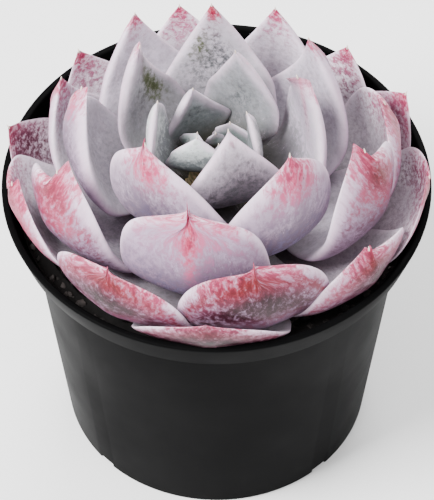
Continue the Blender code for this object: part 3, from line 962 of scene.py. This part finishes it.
def scatter(name, count, seed, low, high, skin, shades, squash):
    """Loose crumbs on the soil, as one piece: each a small dented ball of its own size and turn."""
    pick = random.Random(seed)
    edge = mouth_radius(SOIL_TOP) - FIT
    ball = bmesh.new()
    bmesh.ops.create_icosphere(ball, subdivisions=2, radius=1)
    ball.verts.ensure_lookup_table()
    unit = [vert.co.copy() for vert in ball.verts]
    faces = [[vert.index for vert in face.verts] for face in ball.faces]
    ball.free()
    points, sides, values = [], [], []
    for i in range(count):
        size = low + (high - low) * pick.random() ** 2.2
        radius = math.sqrt(pick.uniform(0.25, 1)) * (edge - size)
        angle = pick.uniform(0, math.tau)
        height = soil_height(radius, edge) + size * 0.25
        place = Vector((radius * math.cos(angle), radius * math.sin(angle), height))
        stretch = Vector(
            (pick.uniform(0.7, 1.3), pick.uniform(0.7, 1.3), pick.uniform(squash, 1.0)))
        tilt = Euler(
            (pick.uniform(-0.5, 0.5), pick.uniform(-0.5, 0.5), pick.uniform(0, math.tau)))
        turn = tilt.to_matrix()
        start = Vector((pick.uniform(0, 100), 0, 0))
        for spot in unit:
            dent = 1 + 0.55 * noise.noise(spot * 1.3 + start)
            points.append(place + turn @ (size * dent * spot * stretch))
        sides += [[i * len(unit) + corner for corner in face] for face in faces]
        values += [pick.uniform(*shades)] * len(unit)
    mesh = bpy.data.meshes.new(name + "_form")
    mesh.from_pydata(points, [], sides)
    paint(mesh, "shade", "FLOAT", values)
    return piece(name, mesh, skin)


# Leaves by age: the oldest of each, their slot and their skin's name
AGES = (
    (8, "young_leaf", "Powdery young leaf"),
    (20, "middle_leaf", "Powdery leaf"),
    (OLDEST, "old_leaf", "Powdery old leaf"),
)


# Operators: one for each piece or group of like pieces


class SUCCULENT_OT_pot(bpy.types.Operator):
    """Turn the pot, cut its notches and drain holes, and give it its plastic"""

    bl_idname = "succulent.pot"
    bl_label = "Pot"

    def execute(self, context):
        build_pot(context.scene.succulent_pot)
        return {"FINISHED"}


class SUCCULENT_OT_soil(bpy.types.Operator):
    """Fill the pot with potting mix"""

    bl_idname = "succulent.soil"
    bl_label = "Soil"

    def execute(self, context):
        build_soil(context.scene.succulent_soil)
        return {"FINISHED"}


class SUCCULENT_OT_stones(bpy.types.Operator):
    """Strew dark stones and perlite over the mix"""

    bl_idname = "succulent.stones"
    bl_label = "Stones and perlite"

    def execute(self, context):
        settings = context.scene.succulent_soil
        dark = tuple(0.4 * c for c in settings.colour)
        stone = soil_skin("Dark grit", dark, tuple(3.2 * c for c in settings.colour), 0.7)
        scatter("soil_stones", settings.stones, 5, 0.45 * MM, 1.5 * MM, stone, (0.1, 0.9), 0.6)
        white = tuple(settings.perlite)
        perlite = soil_skin("Perlite", tuple(0.6 * c for c in white), white, 0.95)
        scatter("soil_perlite", settings.grains, 11, 0.35 * MM, 0.95 * MM, perlite, (0.5, 1.0), 0.7)
        return {"FINISHED"}


class SUCCULENT_OT_stem(bpy.types.Operator):
    """Give the stem its scarred bark"""

    bl_idname = "succulent.stem"
    bl_label = "Stem"

    def execute(self, context):
        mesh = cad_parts["stem"].data
        mesh.materials.clear()
        mesh.materials.append(stem_skin())
        return {"FINISHED"}


class SUCCULENT_OT_leaves(bpy.types.Operator):
    """Grow the leaves of the rosette, each on its own shell, with its stains and its painted light
    and shade
    """

    bl_idname = "succulent.leaves"
    bl_label = "Leaves"

    def execute(self, context):
        settings = context.scene.succulent_leaves
        skins = [leaf_skin(name, settings) for oldest, slot, name in AGES]
        dry = spine_skin()
        youngest = 1
        for (oldest, slot, name), skin in zip(AGES, skins):
            for number in range(youngest, oldest + 1):
                if number not in SHED:
                    build_leaf(number, settings, skin)
                if number not in (*SHED, *WORN_POINTS):
                    build_spine(number, settings, dry)
            youngest = oldest + 1
        return {"FINISHED"}


class SUCCULENT_OT_stage(bpy.types.Operator):
    """Lay the floor and set up the lights and the camera"""

    bl_idname = "succulent.stage"
    bl_label = "Stage"

    def execute(self, context):
        settings = context.scene.succulent_stage
        build_floor(settings)
        build_lights()
        build_camera(settings)
        return {"FINISHED"}


def build_floor(settings):
    """A plain floor that is part of the stage."""
    form = bmesh.new()
    bmesh.ops.create_grid(form, x_segments=1, y_segments=1, size=3)
    mesh = bpy.data.meshes.new("floor_form")
    form.to_mesh(mesh)
    form.free()
    made, tree, shader = new_skin("Pale floor", 0.9)
    shader.inputs["Base Color"].default_value = (*settings.floor, 1)
    mesh.materials.append(made)
    floor = bpy.data.objects.new("floor", mesh)
    bpy.context.scene.collection.objects.link(floor)


def add_light(name, place, size, watts, colour=(1, 1, 1)):
    """A square area light that looks at the rosette."""
    lamp = bpy.data.lights.new(name, "AREA")
    lamp.size = size
    lamp.energy = watts
    lamp.color = colour
    made = bpy.data.objects.new(name, lamp)
    made.location = place
    middle = Vector((0, 0, POT_HEIGHT))
    made.rotation_euler = (middle - Vector(place)).to_track_quat("-Z", "Y").to_euler()
    bpy.context.scene.collection.objects.link(made)


def build_lights():
    """A soft key light from the upper left, a weak fill, a light from behind and an even sky."""
    add_light("key", (-0.75, -0.35, 1.0), 0.6, 44)
    add_light("fill", (0.9, -0.6, 0.7), 1.0, 7)
    add_light("back", (0.2, 1.0, 0.9), 0.8, 18)
    world = bpy.data.worlds.new("Studio")
    world.use_nodes = True
    back = world.node_tree.nodes["Background"]
    back.inputs["Color"].default_value = (1, 1, 1, 1)
    back.inputs["Strength"].default_value = 1.0
    bpy.context.scene.world = world


def build_camera(settings):
    """A long lens that looks down on the plant from the front."""
    lens = bpy.data.cameras.new("camera")
    lens.lens = settings.lens
    lens.sensor_width = 36
    lens.clip_end = 10
    camera = bpy.data.objects.new("camera", lens)
    tilt = settings.elevation
    camera.location = (0.1 * MM, -settings.distance * math.cos(tilt),
                       settings.aim + settings.distance * math.sin(tilt))
    camera.rotation_euler = (math.pi / 2 - tilt, 0, 0)
    bpy.context.scene.collection.objects.link(camera)
    bpy.context.scene.camera = camera


class SUCCULENT_PT_panel(bpy.types.Panel):
    """Lists the pieces and their settings"""

    bl_idname = "SUCCULENT_PT_panel"
    bl_label = "Potted succulent"
    bl_space_type = "VIEW_3D"
    bl_region_type = "UI"
    bl_category = "Succulent"

    def draw(self, context):
        for operator in OPERATORS:
            self.layout.operator(operator.bl_idname)
        for name in SETTINGS:
            box = self.layout.box()
            group = getattr(context.scene, name)
            for value in group.bl_rna.properties:
                if not value.is_readonly and value.identifier != "name":
                    box.prop(group, value.identifier)


OPERATORS = (
    SUCCULENT_OT_pot,
    SUCCULENT_OT_soil,
    SUCCULENT_OT_stones,
    SUCCULENT_OT_stem,
    SUCCULENT_OT_leaves,
    SUCCULENT_OT_stage,
)
SETTINGS = {
    "succulent_pot": SucculentPot,
    "succulent_soil": SucculentSoil,
    "succulent_leaves": SucculentLeaves,
    "succulent_stage": SucculentStage,
}
CLASSES = (*SETTINGS.values(), *OPERATORS, SUCCULENT_PT_panel)


def register():
    for item in CLASSES:
        bpy.utils.register_class(item)
    for name, group in SETTINGS.items():
        setattr(bpy.types.Scene, name, PointerProperty(type=group))


def unregister():
    for name in SETTINGS:
        delattr(bpy.types.Scene, name)
    for item in reversed(CLASSES):
        bpy.utils.unregister_class(item)


def main():
    register()
    bpy.ops.succulent.pot()
    bpy.ops.succulent.soil()
    bpy.ops.succulent.stones()
    bpy.ops.succulent.stem()
    bpy.ops.succulent.leaves()
    bpy.ops.succulent.stage()


if __name__ == "__main__":
    main()
